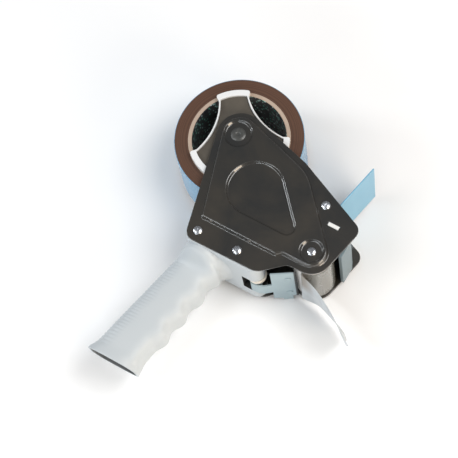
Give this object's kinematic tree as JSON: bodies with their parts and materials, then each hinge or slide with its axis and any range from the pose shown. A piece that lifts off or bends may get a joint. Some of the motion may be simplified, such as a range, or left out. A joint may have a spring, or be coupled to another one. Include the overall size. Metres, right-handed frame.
{
  "type": "tape dispenser",
  "caption": "Pistol-grip carton tape dispenser: pressed side plates, tape roll on a drum hub, pressure roller, wiper flap and hinged serrated blade.",
  "frame": {"origin": "centre of the hub axle's loading-side end face, on the plane that the dispenser rests on", "axes": "+Z along the hub axis towards the near side plate, +Y from the grip's butt towards the roll, +X towards the pressure roller"},
  "size_m": [0.2162, 0.2578, 0.0662],
  "materials": {
    "plate_paint": "semi-gloss charcoal lacquer",
    "handle_plastic": "satin light cool grey, moulded",
    "drum_plastic": "glossy white, moulded",
    "spider_plastic": "dark brown-grey, moulded",
    "knob_plastic": "black, moulded",
    "bush_plastic": "natural acetal",
    "zinc_screw": "zinc plated",
    "steel_bright": "bright rolled steel",
    "steel_blade": "hardened, ground teeth",
    "spring_steel": "drawn wire",
    "rivet_dark": "blackened",
    "card": "spiral-wound card",
    "tape_brown": "brown film, wound edge",
    "tape_film": "thin film, pale and translucent",
    "roller_rubber": "pale ground rubber",
    "guard_plastic": "light grey, moulded",
    "flap_plastic": "pale blue-grey sheet"
  },
  "bodies": {
    "frame": {"near_side_plate": "plate_paint", "far_side_plate": "plate_paint", "near_screws": "zinc_screw", "far_screws": "zinc_screw", "roller_screws": "zinc_screw", "handle": "handle_plastic", "hub_axle": "rivet_dark", "friction_washer": "bush_plastic", "spring_washer": "zinc_screw", "tension_spring": "spring_steel", "tape_web": "tape_film", "tape_tail": "tape_film", "roller_axle": "steel_bright", "roller_washers": "zinc_screw", "front_guard": "guard_plastic", "flap_shaft": "steel_bright", "flap_spring": "spring_steel", "flap_washers": "zinc_screw", "carrier_pin": "steel_bright", "carrier_spring": "spring_steel"},
    "tape_hub": {"hub_bush": "bush_plastic", "hub_drum": "drum_plastic", "hub_spider": "spider_plastic", "tape_core": "card", "tape_roll": "tape_brown"},
    "pressure_roller": {"roller_core": "bush_plastic", "roller_sleeve": "roller_rubber", "roller_bushes": "bush_plastic"},
    "brake_knob": {"tension_knob": "knob_plastic"},
    "wiper_flap": {"flap": "flap_plastic"},
    "blade_arm": {"blade_carrier": "steel_bright", "blade": "steel_blade", "blade_rivets": "zinc_screw"}
  },
  "joints": [
    {"name": "hub_spin", "type": "hinge", "parent": "frame", "child": "tape_hub", "pos_m": [0, 0, 0.0312], "axis": [0, 0, 1], "continuous": true},
    {"name": "roller_spin", "type": "hinge", "parent": "frame", "child": "pressure_roller", "pos_m": [0.1018, -0.0598, 0.0331], "axis": [0, 0, 1], "continuous": true},
    {"name": "knob_turn", "type": "hinge", "parent": "frame", "child": "brake_knob", "pos_m": [0, 0, 0.0048], "axis": [0, 0, 1], "range_deg": [-180, 180]},
    {"name": "flap_pivot", "type": "hinge", "parent": "frame", "child": "wiper_flap", "pos_m": [0.0921, -0.0202, 0.0331], "axis": [0, 0, 1], "range_deg": [0, 20], "stiffness_Nm_per_rad": 0.03, "springref_deg": -17.19},
    {"name": "carrier_pivot", "type": "hinge", "parent": "frame", "child": "blade_arm", "pos_m": [0.067, -0.0886, 0.0331], "axis": [0, 0, 1], "range_deg": [0, 4], "stiffness_Nm_per_rad": 0.06, "springref_deg": -20.05}
  ],
  "couplings": [
    {"joint": "roller_spin", "follows": "hub_spin", "ratio": -3.2515}
  ]
}
